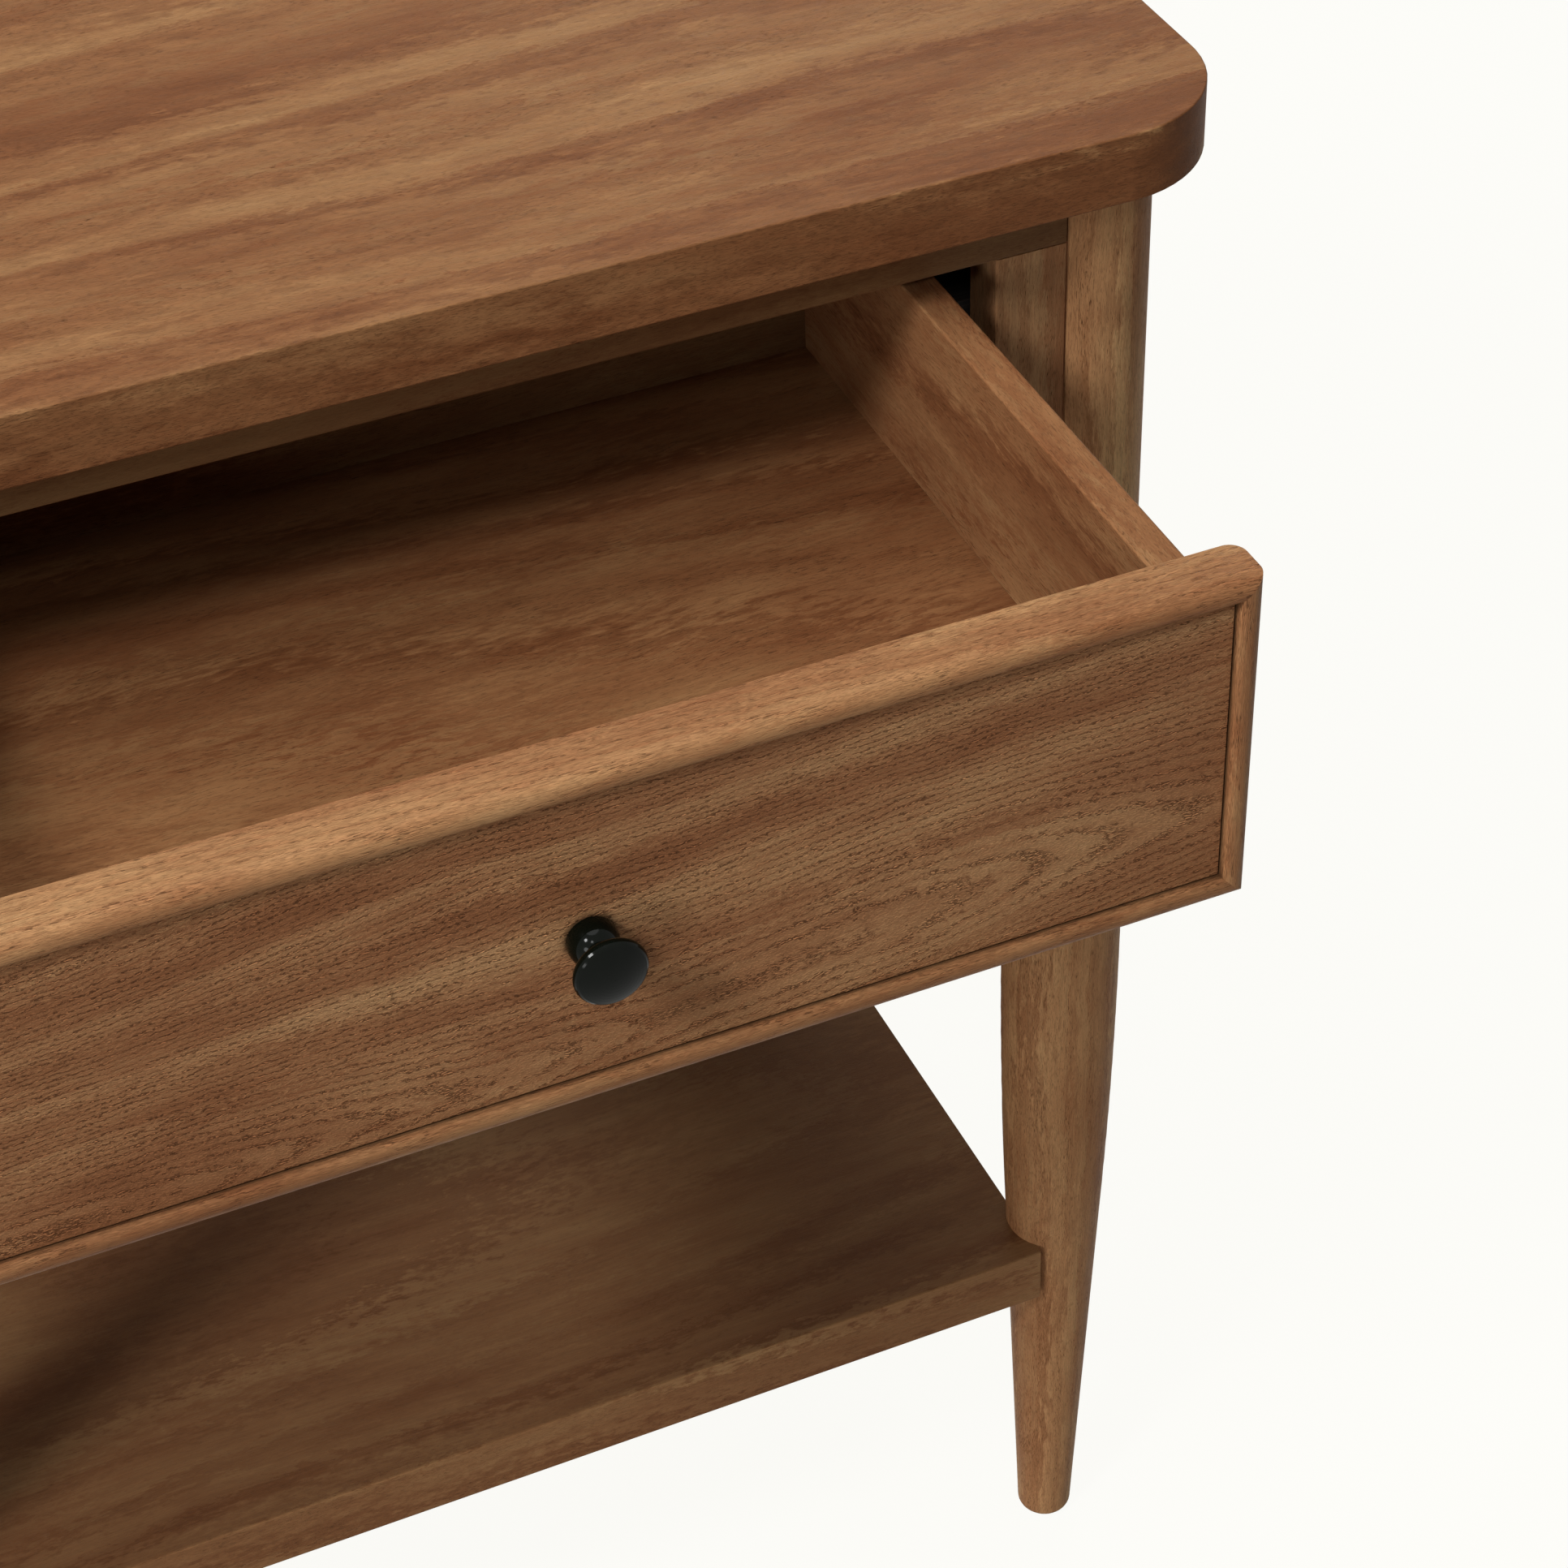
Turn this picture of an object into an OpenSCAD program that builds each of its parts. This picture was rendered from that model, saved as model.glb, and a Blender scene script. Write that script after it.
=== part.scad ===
// Side table with one drawer and a lower shelf, on round tapered legs.
// X runs to the right, Y to the back and Z up from the floor.
// The drawer is drawn partly open, and the origin lies on the floor
// under the middle of the whole table, drawer and knob included.

/* [Tabletop] */
// Width of the tabletop
top_w = 532; // [480:1:700]
// Depth of the tabletop
top_d = 400; // [360:5:520]
// Height of the tabletop above the floor
table_h = 635; // [560:5:720]
// Thickness of the tabletop
top_t = 22; // [16:1:30]
// Plan radius of the tabletop's corners
top_corner_r = 39; // [12:1:60]
// Rounding along the tabletop's edges
top_ease = 0.5; // [0.5:0.5:4]
// Overhang of the tabletop past the legs
top_overhang = 15.5; // [6:0.5:40]

/* [Legs] */
// Diameter of a leg's straight upper part
leg_d = 41; // [38:1:50]
// Diameter of a leg at the floor
foot_d = 20; // [16:1:30]
// Height at which the taper would meet the straight part
taper_h = 243; // [190:1:300]
// Reach of the curve on each side of that height
taper_blend = 60; // [20:5:90]
// Rounding round the bottom of the foot
foot_round = 3.5; // [1:0.5:5]
// Distance from a leg's axis to its joint flats
leg_flat = 12.5; // [10:0.5:14]

/* [Glides] */
// Diameter of the nylon glide under a foot
glide_d = 13; // [8:1:13]
// Thickness of the glide's head
glide_t = 1.5; // [1:0.5:4]
// Diameter of the glide's pin
glide_pin_d = 3; // [2:0.5:4]
// Length of the glide's pin
glide_pin_len = 12; // [6:1:20]

/* [Case] */
// Distance from a leg's axis to the case's outer faces
face_out = 15.8; // [14:0.1:18]
// Height of the front rails
rail_h = 22; // [18:1:36]
// Thickness of the front rails and stiles
rail_t = 18; // [16:1:22]
// Width and depth of the shadow line where rails and stiles meet the legs
shadow_line = 0.8; // [0.4:0.2:1.6]
// Width of the stiles beside the drawer
stile_w = 23.5; // [18:0.5:40]
// Height of the drawer opening
opening_h = 116; // [100:1:150]
// Thickness of the side and back panels
panel_t = 15; // [12:0.5:18]
// Thickness of the panel under the drawer
case_bottom_t = 9; // [6:0.5:12]
// Height of that panel above the case's lower edge
case_bottom_up = 9; // [4:0.5:10]
// Depth of the grooves that hold that panel
case_groove = 4; // [2:0.5:4]
// Side of the square cleats that hold the tabletop
cleat = 18; // [12:1:22]
// Distance from the legs' axes to the cleats' ends
cleat_inset = 26; // [26:1:60]
// Distance from a cleat's ends to its end screws
top_screw_in = 25; // [10:1:60]
// Rounding along the edges of the wooden pieces
ease = 0.8; // [0.3:0.1:1.5]

/* [Shelf] */
// Height of the shelf's upper face above the floor
shelf_h = 163; // [120:1:240]
// Thickness of the shelf
shelf_t = 24; // [16:1:30]

/* [Drawer front] */
// Gap above and below the drawer front
front_gap = 3; // [1.5:0.5:4]
// Gap at each end of the drawer front
end_gap = 2; // [1.5:0.5:4]
// Thickness of the drawer front with its beading
front_t = 17; // [15:0.5:17]
// Width of the beading round the drawer front
bead_w = 7.5; // [7:0.5:12]
// Height of the beading above the front panel
bead_proud = 3; // [2.5:0.5:4]
// Outer rounding of the beading
bead_outer_r = 4.5; // [1:0.5:4.5]
// Inner rounding of the beading
bead_inner_r = 2.4; // [0.4:0.2:2.4]
// Plan radius of the drawer front's back corners
back_corner_r = 5; // [1:0.5:6]
// Chamfer round the front panel, along the beading
panel_edge = 0.6; // [0.2:0.1:1]

/* [Drawer box] */
// How far the drawer stands open
drawer_open = 165; // [0:1:200]
// Length of the drawer's sides
side_len = 235; // [230:1:290]
// Thickness of the drawer's sides and back
side_t = 11; // [9:0.5:15]
// Height of the drawer's sides and back
side_h = 80; // [70:1:95]
// Thickness of the drawer's bottom
bottom_t = 5; // [3:0.5:8]
// Height of the bottom above the sides' lower edges
bottom_up = 12; // [8:0.5:16]
// Depth of the grooves that hold the bottom
bottom_groove = 5; // [3:0.5:6]
// Distance from the drawer front's ends to the sides
side_in = 15.6; // [15.6:0.1:22]

/* [Knob] */
// Diameter of the knob's head
knob_d = 20.5; // [17:0.5:32]
// Length of the knob in front of the panel
knob_len = 18; // [17:0.5:30]
// Diameter of the ball at the knob's base
knob_ball_d = 14; // [11:0.5:16]
// Height of the ball's centre above the panel
knob_ball_up = 2.4; // [1:0.1:3]
// Diameter of the knob's neck
knob_neck_d = 8; // [7:0.5:10]
// Height of the neck's narrowest place above the panel
knob_neck_up = 10; // [9:0.5:11]
// Rounding of the knob's rim
knob_rim_r = 2; // [1:0.1:2]
// Height of the dome on the knob's head
knob_dome = 1.8; // [1:0.1:3]
// Diameter of the knob's screw
knob_screw_d = 4; // [3:0.5:5]
// Depth of the screw inside the knob
knob_screw_in = 9; // [6:0.5:12]

/* [Drawer slides] */
// Length of the slides
slide_len = 225; // [180:5:225]
// Height of the slides
slide_h = 45; // [45:1:50]
// Space between the drawer and its runner board
slide_space = 12.7; // [12.7:0.1:14]
// Height of the slides' middle above the drawer sides' lower edges
slide_up = 30; // [26:1:40]
// Thickness of the slides' steel
steel_t = 1.2; // [1:0.1:1.3]
// Diameter of the slides' balls
ball_d = 2.9; // [2.5:0.1:3]
// Running gap between a ball and its race
ball_gap = 0.3; // [0.2:0.05:0.4]
// Balls in one cage
ball_count = 6; // [3:1:10]
// Distance from ball to ball
ball_pitch = 9; // [6:1:12]
// Distance from a slide's ends to its end screws
slide_hole_in = 20; // [15:1:40]
// Width of a strip of balls
cage_w = 3.6; // [3:0.1:4]
// Thickness of that strip
cage_t = 0.8; // [0.5:0.1:1.2]
// Thickness of the runner boards
runner_t = 20; // [14:1:20]
// Height of the runner boards above the slides
runner_edge = 7.5; // [0:0.5:15]

/* [Fasteners] */
// Diameter of the case's dowels
dowel_d = 8; // [6:1:10]
// Length of the case's dowels
dowel_len = 30; // [20:2:36]
// Distance from the case's floor and top to the panels' dowels
dowel_in = 24; // [16:1:40]
// Diameter of the drawer's dowels
drawer_dowel_d = 6; // [4:0.5:7]
// Length of the drawer's dowels
drawer_dowel_len = 20; // [16:1:22]
// Distance from the drawer's floor and top edge to its dowels
drawer_dowel_in = 16; // [10:1:24]
// Diameter of the screws that hold the tabletop and slides
screw_d = 3.5; // [3:0.5:4]
// Length of the slide screws
slide_screw_len = 9; // [6:1:10]
// Length of the tabletop screws
top_screw_len = 32; // [24:1:38]

/* [Hidden] */

// Clearances
panel_fit = 0.15; // round a panel in its groove
dowel_fit = 0.1;  // round a dowel
end_fit = 0.5;    // past the end of a dowel or screw
screw_fit = 0.1;  // round a screw's shank
leg_fit = 0.5;    // round a leg that passes a panel
slide_fit = 0.45; // between a slide's channels and its screws' heads
lip_fit = 0.8;    // between a channel's lip and the channel inside it
slide_back = 1;   // between the front frame and the slides
slide_short = 1.5; // from the fixed channels to the drawer's side
over = 1;         // how far a cutter reaches past what it cuts

// Legs
leg_r = leg_d / 2;
leg_x = top_w / 2 - top_overhang - leg_r;
leg_y = top_d / 2 - top_overhang - leg_r;
under_top = table_h - top_t;

// The whole table, with its drawer open, is centred on the origin in plan
front_reach = leg_y + face_out + drawer_open + knob_len - bead_proud;
plan_y = (front_reach - top_d / 2) / 2;
front_leg_y = plan_y - leg_y;
back_leg_y = plan_y + leg_y;

// Case
case_front = front_leg_y - face_out;
case_back = back_leg_y + face_out;
rail_back = case_front + rail_t;
back_inside = case_back - panel_t;
side_inside = leg_x + face_out - panel_t;
butt_x = leg_x - leg_flat;
jamb_x = butt_x - stile_w;
opening_top = under_top - rail_h;
opening_low = opening_top - opening_h;
case_low = opening_low - rail_h;
case_floor = case_low + case_bottom_up + case_bottom_t;
panel_dowel_z = [case_floor + dowel_in, under_top - dowel_in];

// Drawer front and box, all in their closed place
front_w = 2 * (jamb_x - end_gap);
front_h = opening_h - 2 * front_gap;
front_mid_z = (opening_low + opening_top) / 2;
front_top = opening_top - front_gap;
box_y = case_front + front_t;
box_end = box_y + side_len;
side_low = front_top - side_h;
floor_low = side_low + bottom_up;
slide_z = side_low + slide_up;
box_x = front_w / 2 - side_in;
runner_face = box_x + slide_space;
box_in_x = box_x - side_t;
drawer_dowel_z = [floor_low + bottom_t + drawer_dowel_in, front_top - drawer_dowel_in];
side_dowel_in = 0.35 * drawer_dowel_len; // in the front, and in a side from behind

// Heads of the pan-head screws
pan_d = 2 * screw_d;
pan_t = 0.5 * screw_d;
pan_round = 0.6 * pan_t;

// Slides: three nested channels with a race of balls on each side of the middle one
race = ball_d + 2 * ball_gap;
outer_half = slide_h / 2;
middle_half = outer_half - steel_t - race;
inner_half = middle_half - steel_t - race;
fixed_reach = slide_space - slide_short;
middle_start = steel_t + pan_t + slide_fit;
inner_start = middle_start + 2 * steel_t;
lip = steel_t + race - lip_fit;
slide_y = rail_back + slide_back;
slide_holes = [slide_hole_in, slide_len / 2, slide_len - slide_hole_in];

// ---- Profiles ----

// Points along a round stretch
function arc(centre, r, from, to, steps = 6) =
    [for (i = [0:steps]) let (a = from + (to - from) * i / steps)
        centre + r * [cos(a), sin(a)]];

// A rectangle from the origin with rounded corners
function eased_rect(w, h, r) = concat(
    arc([r, r], r, 180, 270, 3),
    arc([w - r, r], r, 270, 360, 3),
    arc([w - r, h - r], r, 0, 90, 3),
    arc([r, h - r], r, 90, 180, 3));

// Half the section of a leg: rounded foot, straight taper, long curve, straight top
taper_a = atan((leg_r - foot_d / 2) / taper_h);
blend_r = taper_blend / tan(taper_a / 2);
function taper_r(z) = foot_d / 2 + z * tan(taper_a);
leg_profile = concat(
    [[0, glide_t]],
    arc([taper_r(glide_t + foot_round) - foot_round, glide_t + foot_round], foot_round, -90, 0),
    arc([leg_r - blend_r, taper_h + taper_blend], blend_r, -taper_a, 0, 10),
    [[leg_r, under_top], [0, under_top]]);

// Section of the beading: across its width, then from its front to its back
bead_profile = concat(
    arc([bead_outer_r, bead_outer_r], bead_outer_r, 180, 270, 8),
    arc([bead_w - bead_inner_r, bead_inner_r], bead_inner_r, 270, 360, 4),
    [[bead_w, front_t], [0, front_t]]);

// Half the section of the knob's neck and head
neck_start = 40; // angle round the neck's curve at which it leaves the ball
rim_stop = 60;   // angle round the rim at which the dome begins
rim_up = knob_len - knob_dome - knob_rim_r * sin(rim_stop);
dome_edge = knob_d / 2 - knob_rim_r * (1 - cos(rim_stop));
dome_r = (pow(dome_edge, 2) + pow(knob_dome, 2)) / (2 * knob_dome);
dome_a = asin(dome_edge / dome_r);
neck_curve = rim_up - knob_rim_r - knob_neck_up;
knob_profile = concat(
    [[0, knob_ball_up], [knob_neck_d / 2 + neck_curve * (1 - cos(neck_start)), knob_ball_up]],
    arc([knob_neck_d / 2 + neck_curve, knob_neck_up], neck_curve, 180 + neck_start, 90, 10),
    arc([knob_d / 2 - knob_rim_r, rim_up], knob_rim_r, -90, rim_stop, 8),
    arc([0, knob_len - dome_r], dome_r, 90 - dome_a, 90, 8));

// A slide's channel, from its web to its open side, with turned lips
function channel(start, reach, half) = [
    [start, -half], [reach, -half], [reach, lip - half], [reach - steel_t, lip - half],
    [reach - steel_t, steel_t - half], [start + steel_t, steel_t - half],
    [start + steel_t, half - steel_t], [reach - steel_t, half - steel_t],
    [reach - steel_t, half - lip], [reach, half - lip], [reach, half], [start, half]];

// ---- Places ----

// A right-hand piece, mirrored for the left hand
module handed(left) {
    mirror([left ? 1 : 0, 0, 0]) children();
}

// What moves with the drawer, or with a share of its travel
module opened(share = 1) {
    translate([0, -drawer_open * share, 0]) children();
}

// A leg's own place; the back legs are the front ones mirrored
module at_leg(left, back) {
    handed(left)
        translate([leg_x, back ? back_leg_y : front_leg_y, 0])
            mirror([0, back ? 1 : 0, 0]) children();
}

// ---- Plain parts of pieces ----

// A board along X, Y or Z, with its low corner at the origin
module board_x(len, d, h) {
    rotate([90, 0, 90]) linear_extrude(len) polygon(eased_rect(d, h, ease));
}
module board_y(w, len, h) {
    translate([0, len, 0]) rotate([90, 0, 0]) linear_extrude(len) polygon(eased_rect(w, h, ease));
}
module board_z(w, d, h) {
    linear_extrude(h) polygon(eased_rect(w, d, ease));
}

// A round piece along X or Y, centred on the origin
module rod_x(d, len) {
    rotate([0, 90, 0]) cylinder(d = d, h = len, center = true, $fn = 32);
}
module rod_y(d, len) {
    rotate([90, 0, 0]) cylinder(d = d, h = len, center = true, $fn = 32);
}

// ---- Dowels and screws ----

// The case's dowels, or their holes: children of one leg's place
module leg_dowels(back, d, len) {
    frame_t = back ? panel_t : rail_t;
    for (z = back ? panel_dowel_z : [opening_top + rail_h / 2, opening_low - rail_h / 2])
        translate([-leg_flat, frame_t / 2 - face_out, z]) rod_x(d, len);
    for (z = panel_dowel_z)
        translate([face_out - panel_t / 2, leg_flat, z]) rod_y(d, len);
    translate([-leg_flat, 0, shelf_h - shelf_t / 2]) rod_x(d, len);
}

module all_leg_dowels(d, len) {
    for (left = [false, true], back = [false, true])
        at_leg(left, back) leg_dowels(back, d, len);
}

module dowel_holes() {
    all_leg_dowels(dowel_d + 2 * dowel_fit, dowel_len + 2 * end_fit);
}

// The drawer's dowels, or their holes, on the right-hand side of the box
module side_dowels(d, len) {
    for (z = drawer_dowel_z) {
        translate([box_x - side_t / 2, box_y + drawer_dowel_len / 2 - side_dowel_in, z]) rod_y(d, len);
        translate([box_in_x + side_dowel_in - drawer_dowel_len / 2, box_end - side_t / 2, z])
            rod_x(d, len);
    }
}

module side_dowel_holes() {
    for (left = [false, true])
        handed(left)
            side_dowels(drawer_dowel_d + 2 * dowel_fit, drawer_dowel_len + 2 * end_fit);
}

// A pan-head screw that points along +Z, its head's underside at the origin
module pan_screw(d, len) {
    cylinder(d = d, h = len, $fn = 24);
    rotate_extrude($fn = 32)
        polygon(concat([[0, 0], [0, -pan_t]],
            arc([pan_d / 2 - pan_round, pan_round - pan_t], pan_round, -90, 0),
            [[pan_d / 2, 0]]));
}

// The screws of one slide's fixed channel, and of its drawer channel
module cabinet_screw_places() {
    for (y = slide_holes)
        translate([runner_face - steel_t, slide_y + y, slide_z]) children();
}
module drawer_screw_places() {
    for (y = slide_holes)
        translate([box_x + steel_t, slide_y + y, slide_z]) children();
}

// ---- Tabletop ----

// A coin with the tabletop's edge, one at each corner
module corner_coin() {
    rotate_extrude($fn = 96)
        polygon(concat([[0, 0]],
            arc([top_corner_r - top_ease, top_ease], top_ease, -90, 0, 4),
            arc([top_corner_r - top_ease, top_t - top_ease], top_ease, 0, 90, 4),
            [[0, top_t]]));
}

module tabletop() {
    in_x = top_w / 2 - top_corner_r;
    in_y = top_d / 2 - top_corner_r;
    color("peru") difference() {
        translate([0, plan_y, under_top]) {
            for (sx = [-1, 1], sy = [-1, 1])
                translate([sx * in_x, sy * in_y, 0]) corner_coin();
            translate([-in_x, -top_d / 2, 0]) rotate([90, 0, 90])
                linear_extrude(2 * in_x) polygon(eased_rect(top_d, top_t, top_ease));
            translate([-top_w / 2, in_y, 0]) rotate([90, 0, 0])
                linear_extrude(2 * in_y) polygon(eased_rect(top_w, top_t, top_ease));
        }
        top_screw_places() cylinder(d = screw_d + 2 * screw_fit, h = top_screw_len + end_fit, $fn = 24);
    }
}

// ---- Legs ----

module leg(left, back) {
    frame_t = back ? panel_t : rail_t;
    color("sienna") difference() {
        at_leg(left, back) difference() {
            rotate_extrude($fn = 96) polygon(leg_profile);
            // Flat for the front frame or the back panel
            translate([-leg_r - over, -leg_r - over, case_low])
                cube([leg_r + over - leg_flat, leg_r + over - face_out + frame_t, under_top]);
            // Flat for the side panel
            translate([face_out - panel_t, leg_flat, case_low])
                cube([leg_r + over, leg_r + over, under_top]);
            // Housing for the shelf's edge
            translate([-leg_r - over, -leg_r - over, shelf_h - shelf_t])
                cube([leg_r + over - leg_flat, 2 * (leg_r + over), shelf_t]);
            cylinder(d = glide_pin_d + 2 * screw_fit, h = glide_t + glide_pin_len + end_fit, $fn = 24);
        }
        dowel_holes();
    }
}

module leg_front_left() leg(true, false);
module leg_front_right() leg(false, false);
module leg_back_left() leg(true, true);
module leg_back_right() leg(false, true);

module foot_glides() {
    color("white")
        for (left = [false, true], back = [false, true])
            at_leg(left, back) {
                cylinder(d = glide_d, h = glide_t, $fn = 48);
                cylinder(d = glide_pin_d, h = glide_t + glide_pin_len, $fn = 24);
            }
}

// ---- Case ----

module case_bottom_slot() {
    translate([-side_inside - case_groove, rail_back - case_groove, case_floor - case_bottom_t - panel_fit])
        cube([2 * (side_inside + case_groove), back_inside - rail_back + 2 * case_groove,
            case_bottom_t + 2 * panel_fit]);
}

// Rebate down the front of the frame, beside each front leg
module shadow_lines() {
    for (left = [false, true])
        handed(left) translate([butt_x - shadow_line, case_front - shadow_line, case_low - shadow_line])
            cube([2 * shadow_line, 2 * shadow_line, under_top - case_low + 2 * shadow_line]);
}

module top_rail() {
    color("saddlebrown") difference() {
        translate([-butt_x, case_front, opening_top]) board_x(2 * butt_x, rail_t, rail_h);
        shadow_lines();
        dowel_holes();
    }
}

module bottom_rail() {
    color("saddlebrown") difference() {
        translate([-butt_x, case_front, case_low]) board_x(2 * butt_x, rail_t, rail_h);
        shadow_lines();
        case_bottom_slot();
        dowel_holes();
    }
}

module stile(left) {
    color("sienna") difference() {
        handed(left) translate([jamb_x, case_front, opening_low])
            board_z(stile_w, rail_t, opening_h);
        shadow_lines();
    }
}
module stile_left() stile(true);
module stile_right() stile(false);

module side_panel(left) {
    color("peru") difference() {
        handed(left) translate([side_inside, front_leg_y + leg_flat, case_low])
            board_y(panel_t, 2 * (leg_y - leg_flat), under_top - case_low);
        case_bottom_slot();
        dowel_holes();
    }
}
module side_panel_left() side_panel(true);
module side_panel_right() side_panel(false);

module back_panel() {
    color("peru") difference() {
        translate([-butt_x, back_inside, case_low])
            board_x(2 * butt_x, panel_t, under_top - case_low);
        case_bottom_slot();
        dowel_holes();
    }
}

// Panel under the drawer, held in grooves and cut round the legs
module case_bottom() {
    reach = case_groove - panel_fit;
    color("burlywood") difference() {
        translate([-side_inside - reach, rail_back - reach, case_floor - case_bottom_t])
            cube([2 * (side_inside + reach), back_inside - rail_back + 2 * reach, case_bottom_t]);
        for (left = [false, true], back = [false, true])
            at_leg(left, back) translate([0, 0, case_low])
                cylinder(r = leg_r + leg_fit, h = opening_h, $fn = 96);
    }
}

// Places of the tabletop's screws, where their heads meet the cleats
module top_screw_places() {
    end = leg_y - cleat_inset - top_screw_in;
    for (left = [false, true], y = [plan_y - end, plan_y, plan_y + end])
        handed(left) translate([side_inside - cleat / 2, y, under_top - cleat]) children();
}

module top_cleat(left) {
    color("burlywood") difference() {
        handed(left) translate([side_inside - cleat, front_leg_y + cleat_inset, under_top - cleat])
            board_y(cleat, 2 * (leg_y - cleat_inset), cleat);
        top_screw_places() translate([0, 0, -over])
            cylinder(d = screw_d + 2 * screw_fit, h = cleat + 2 * over, $fn = 24);
    }
}
module top_cleat_left() top_cleat(true);
module top_cleat_right() top_cleat(false);

module top_screws() {
    color("silver") top_screw_places() pan_screw(screw_d, top_screw_len);
}

module shelf() {
    color("peru") difference() {
        translate([-butt_x, case_front, shelf_h - shelf_t])
            board_x(2 * butt_x, case_back - case_front, shelf_t);
        dowel_holes();
    }
}

module dowels() {
    color("wheat") all_leg_dowels(dowel_d, dowel_len);
}

// ---- Runner boards and slides ----

module runner_board(left) {
    color("burlywood") handed(left) difference() {
        translate([runner_face, rail_back, case_floor])
            board_y(runner_t, back_inside - rail_back, slide_z + slide_h / 2 + runner_edge - case_floor);
        cabinet_screw_places()
            rotate([0, 90, 0]) cylinder(d = screw_d + 2 * screw_fit, h = slide_screw_len + end_fit, $fn = 24);
    }
}
module runner_board_left() runner_board(true);
module runner_board_right() runner_board(false);

// A channel of the right-hand slide, drawn from the runner board towards the drawer
module slide_channel(points) {
    translate([runner_face, slide_y + slide_len, slide_z])
        mirror([1, 0, 0]) rotate([90, 0, 0]) linear_extrude(slide_len) polygon(points);
}

module slide_cabinet(left) {
    color("silver") handed(left) difference() {
        slide_channel(channel(0, fixed_reach, outer_half));
        cabinet_screw_places() rod_x(screw_d + 2 * screw_fit, 4 * steel_t);
    }
}
module slide_cabinet_left() slide_cabinet(true);
module slide_cabinet_right() slide_cabinet(false);

module slide_cabinet_screws() {
    color("gold")
        for (left = [false, true])
            handed(left) cabinet_screw_places() rotate([0, 90, 0]) pan_screw(screw_d, slide_screw_len);
}

module slide_middle(left) {
    color("silver") handed(left) opened(0.5)
        slide_channel(channel(middle_start, fixed_reach, middle_half));
}
module slide_middle_left() slide_middle(true);
module slide_middle_right() slide_middle(false);

module slide_drawer(left) {
    points = [
        [inner_start, -inner_half], [slide_space, -inner_half], [slide_space, inner_half],
        [inner_start, inner_half], [inner_start, inner_half - steel_t],
        [slide_space - steel_t, inner_half - steel_t],
        [slide_space - steel_t, steel_t - inner_half], [inner_start, steel_t - inner_half]];
    color("silver") handed(left) opened() difference() {
        slide_channel(points);
        drawer_screw_places() rod_x(screw_d + 2 * screw_fit, 4 * steel_t);
    }
}
module slide_drawer_left() slide_drawer(true);
module slide_drawer_right() slide_drawer(false);

module slide_drawer_screws() {
    color("gold")
        for (left = [false, true])
            handed(left) opened() drawer_screw_places()
                rotate([0, -90, 0]) pan_screw(screw_d, slide_screw_len);
}

// Two strips of balls between a channel that starts at start and the one outside it,
// above and below the slide's middle
module ball_cages(start, half) {
    strip = (ball_count + 1) * ball_pitch;
    mid = (start + fixed_reach - steel_t) / 2;
    for (side = [-1, 1])
        translate([runner_face - mid, slide_y + slide_len / 2, slide_z + side * (half + race / 2)]) {
            cube([cage_w, strip, cage_t], center = true);
            for (i = [0:ball_count - 1])
                translate([0, (i - (ball_count - 1) / 2) * ball_pitch, 0])
                    sphere(d = ball_d, $fn = 24);
        }
}

module outer_ball_cage(left) {
    color("dimgray") handed(left) opened(0.25) ball_cages(middle_start, middle_half);
}
module outer_ball_cage_left() outer_ball_cage(true);
module outer_ball_cage_right() outer_ball_cage(false);

module inner_ball_cage(left) {
    color("dimgray") handed(left) opened(0.75) ball_cages(inner_start, inner_half);
}
module inner_ball_cage_left() inner_ball_cage(true);
module inner_ball_cage_right() inner_ball_cage(false);

// ---- Drawer ----

// The middle of the drawer front's outer plane
module at_front() {
    opened() translate([0, case_front, front_mid_z]) children();
}

module bottom_slot() {
    translate([-box_in_x - bottom_groove, box_y - bottom_groove, floor_low - panel_fit])
        cube([2 * (box_in_x + bottom_groove), side_len - side_t + 2 * bottom_groove,
            bottom_t + 2 * panel_fit]);
}

// Section of the front panel, from its chamfered front to its back
function panel_section(half) = [
    [panel_edge - half, bead_proud], [half - panel_edge, bead_proud], [half, bead_proud + panel_edge],
    [half, front_t], [-half, front_t], [-half, bead_proud + panel_edge]];

module front_panel() {
    half_w = front_w / 2 - bead_w;
    half_h = front_h / 2 - bead_w;
    intersection() {
        translate([0, 0, -half_h]) linear_extrude(2 * half_h) polygon(panel_section(half_w));
        translate([-half_w, 0, 0]) rotate([0, 90, 0])
            linear_extrude(2 * half_w) polygon(panel_section(half_h));
    }
}

module drawer_front() {
    color("chocolate") difference() {
        at_front() front_panel();
        at_front() rod_y(knob_screw_d + 4 * screw_fit, 3 * front_t);
        opened() {
            bottom_slot();
            side_dowel_holes();
        }
    }
}

// One length of beading, mitred at both ends; drawn along the top of the front
module bead(half, out) {
    intersection() {
        translate([-half, 0, out]) rotate([0, 90, 0])
            linear_extrude(2 * half) polygon(bead_profile);
        translate([0, front_t + over, 0]) rotate([90, 0, 0])
            linear_extrude(front_t + 2 * over)
                polygon([[-half, out], [half, out], [half - bead_w, out - bead_w],
                    [bead_w - half, out - bead_w]]);
    }
}
// A length of beading, turned to its side of the front, with the back corners rounded
module placed_bead(turn, half, out) {
    color("peru") at_front() difference() {
        rotate([0, turn, 0]) bead(half, out);
        for (left = [false, true])
            handed(left) translate([front_w / 2, front_t, -front_h]) linear_extrude(2 * front_h)
                polygon(concat([[over, -back_corner_r]],
                    arc([-back_corner_r, -back_corner_r], back_corner_r, 0, 90, 8),
                    [[-back_corner_r, over], [over, over]]));
    }
}
module bead_top() placed_bead(0, front_w / 2, front_h / 2);
module bead_bottom() placed_bead(180, front_w / 2, front_h / 2);
module bead_left() placed_bead(-90, front_h / 2, front_w / 2);
module bead_right() placed_bead(90, front_h / 2, front_w / 2);

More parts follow.
